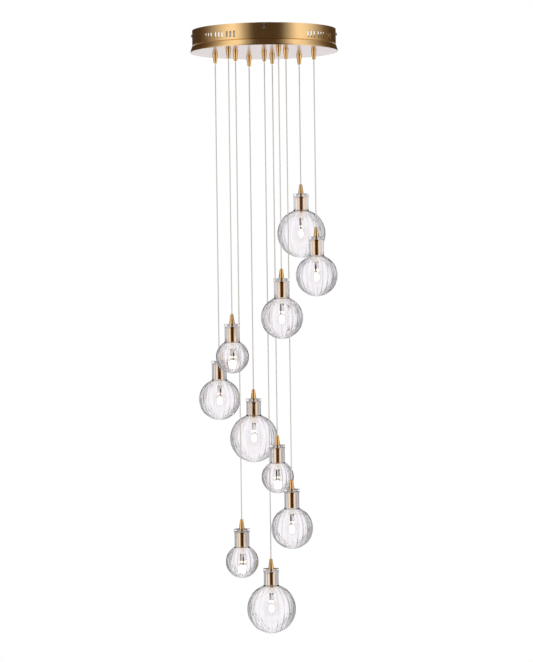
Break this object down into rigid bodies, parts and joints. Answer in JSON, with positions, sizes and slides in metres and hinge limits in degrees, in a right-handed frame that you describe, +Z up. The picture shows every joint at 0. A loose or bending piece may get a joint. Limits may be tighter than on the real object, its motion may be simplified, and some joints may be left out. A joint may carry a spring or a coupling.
{
  "type": "cluster pendant light",
  "caption": "Cluster pendant: a round brass canopy from which ribbed clear glass globes hang on thin cords in a falling spiral, each with a brass cone, a clear cap disc and a capsule lamp",
  "frame": {"origin": "middle of the bracket's ceiling face, on the canopy's axis", "axes": "+Z up out of the ceiling face, +X to the viewer's right, -Y towards the viewer"},
  "size_m": [0.4, 0.4042, 1.6375],
  "materials": {
    "steel": "zinc-plated steel, satin",
    "antique_brass": "antique brass, brushed round the band",
    "polished_plate": "polished plate with a pale rose tint",
    "satin_brass": "satin brass",
    "polished_brass": "polished and satin brass",
    "terminal_plastic": "matte moulded plastic",
    "lead_insulation": "clear insulation over tinned wire",
    "cord_insulation": "clear cord over a braided wire",
    "clear_glass": "clear blown glass with a clear cap disc",
    "ceramic": "pale glazed ceramic",
    "lamp_glass": "clear quartz capsule"
  },
  "bodies": {
    "canopy": {"ceiling_bracket": "steel", "canopy_shell": "antique_brass", "face_plate": "polished_plate", "plate_studs": "steel", "side_screws": "steel", "canopy_cones": "satin_brass", "cone_fasteners": "steel", "cone_grub_screws": "steel", "terminal_strip": "terminal_plastic", "internal_leads": "lead_insulation"},
    "pendant_1": {"cord_1": "cord_insulation", "fittings_1": "polished_brass", "shade_1": "clear_glass", "lampholder_1": "ceramic"},
    "capsule_1": {"lamp_1": "lamp_glass"},
    "pendant_2": {"cord_2": "cord_insulation", "fittings_2": "polished_brass", "shade_2": "clear_glass", "lampholder_2": "ceramic"},
    "capsule_2": {"lamp_2": "lamp_glass"},
    "pendant_3": {"cord_3": "cord_insulation", "fittings_3": "polished_brass", "shade_3": "clear_glass", "lampholder_3": "ceramic"},
    "capsule_3": {"lamp_3": "lamp_glass"},
    "pendant_4": {"cord_4": "cord_insulation", "fittings_4": "polished_brass", "shade_4": "clear_glass", "lampholder_4": "ceramic"},
    "capsule_4": {"lamp_4": "lamp_glass"},
    "pendant_5": {"cord_5": "cord_insulation", "fittings_5": "polished_brass", "shade_5": "clear_glass", "lampholder_5": "ceramic"},
    "capsule_5": {"lamp_5": "lamp_glass"},
    "pendant_6": {"cord_6": "cord_insulation", "fittings_6": "polished_brass", "shade_6": "clear_glass", "lampholder_6": "ceramic"},
    "capsule_6": {"lamp_6": "lamp_glass"},
    "pendant_7": {"cord_7": "cord_insulation", "fittings_7": "polished_brass", "shade_7": "clear_glass", "lampholder_7": "ceramic"},
    "capsule_7": {"lamp_7": "lamp_glass"},
    "pendant_8": {"cord_8": "cord_insulation", "fittings_8": "polished_brass", "shade_8": "clear_glass", "lampholder_8": "ceramic"},
    "capsule_8": {"lamp_8": "lamp_glass"},
    "pendant_9": {"cord_9": "cord_insulation", "fittings_9": "polished_brass", "shade_9": "clear_glass", "lampholder_9": "ceramic"},
    "capsule_9": {"lamp_9": "lamp_glass"},
    "pendant_10": {"cord_10": "cord_insulation", "fittings_10": "polished_brass", "shade_10": "clear_glass", "lampholder_10": "ceramic"},
    "capsule_10": {"lamp_10": "lamp_glass"}
  },
  "joints": [
    {"name": "pendant_1_swing", "type": "hinge", "parent": "canopy", "child": "pendant_1", "pos_m": [0.09586, 0.09927, -0.0878], "axis": [0.766, 0.6428, 0], "range_deg": [-6, 12]},
    {"name": "lamp_1_pull", "type": "slide", "parent": "pendant_1", "child": "capsule_1", "axis": [0, 0, -1], "range_m": [0, 0.007]},
    {"name": "pendant_2_swing", "type": "hinge", "parent": "canopy", "child": "pendant_2", "pos_m": [0.1339, -0.03338, -0.0878], "axis": [0.9397, -0.342, 0], "range_deg": [-6, 8]},
    {"name": "lamp_2_pull", "type": "slide", "parent": "pendant_2", "child": "capsule_2", "axis": [0, 0, -1], "range_m": [0, 0.007]},
    {"name": "pendant_3_swing", "type": "hinge", "parent": "canopy", "child": "pendant_3", "pos_m": [0.03804, -0.13265, -0.0878], "axis": [-0.766, -0.6428, 0], "range_deg": [-6, 12]},
    {"name": "lamp_3_pull", "type": "slide", "parent": "pendant_3", "child": "capsule_3", "axis": [0, 0, -1], "range_m": [0, 0.007]},
    {"name": "pendant_4_swing", "type": "hinge", "parent": "canopy", "child": "pendant_4", "pos_m": [-0.09586, -0.09927, -0.0878], "axis": [-0.766, -0.6428, 0], "range_deg": [-6, 12]},
    {"name": "lamp_4_pull", "type": "slide", "parent": "pendant_4", "child": "capsule_4", "axis": [0, 0, -1], "range_m": [0, 0.007]},
    {"name": "pendant_5_swing", "type": "hinge", "parent": "canopy", "child": "pendant_5", "pos_m": [-0.1339, 0.03338, -0.0878], "axis": [-0.1736, 0.9848, 0], "range_deg": [-5, 12]},
    {"name": "lamp_5_pull", "type": "slide", "parent": "pendant_5", "child": "capsule_5", "axis": [0, 0, -1], "range_m": [0, 0.007]},
    {"name": "pendant_6_swing", "type": "hinge", "parent": "canopy", "child": "pendant_6", "pos_m": [-0.0421, 0.13771, -0.0878], "axis": [0.766, 0.6428, 0], "range_deg": [0, 12]},
    {"name": "lamp_6_pull", "type": "slide", "parent": "pendant_6", "child": "capsule_6", "axis": [0, 0, -1], "range_m": [0, 0.007]},
    {"name": "pendant_7_swing", "type": "hinge", "parent": "canopy", "child": "pendant_7", "pos_m": [0.02177, 0.07594, -0.0878], "axis": [-0.766, -0.6428, 0], "range_deg": [0, 9]},
    {"name": "lamp_7_pull", "type": "slide", "parent": "pendant_7", "child": "capsule_7", "axis": [0, 0, -1], "range_m": [0, 0.007]},
    {"name": "pendant_8_swing", "type": "hinge", "parent": "canopy", "child": "pendant_8", "pos_m": [0.05827, -0.05627, -0.0878], "axis": [0.9397, -0.342, 0], "range_deg": [-1, 10]},
    {"name": "lamp_8_pull", "type": "slide", "parent": "pendant_8", "child": "capsule_8", "axis": [0, 0, -1], "range_m": [0, 0.007]},
    {"name": "pendant_9_swing", "type": "hinge", "parent": "canopy", "child": "pendant_9", "pos_m": [-0.07786, -0.02233, -0.0878], "axis": [-0.342, 0.9397, 0], "range_deg": [-0.5, 12]},
    {"name": "lamp_9_pull", "type": "slide", "parent": "pendant_9", "child": "capsule_9", "axis": [0, 0, -1], "range_m": [0, 0.007]},
    {"name": "pendant_10_swing", "type": "hinge", "parent": "canopy", "child": "pendant_10", "pos_m": [0, 0, -0.0878], "axis": [0.6428, 0.766, 0], "range_deg": [-0.5, 12]},
    {"name": "lamp_10_pull", "type": "slide", "parent": "pendant_10", "child": "capsule_10", "axis": [0, 0, -1], "range_m": [0, 0.007]}
  ]
}
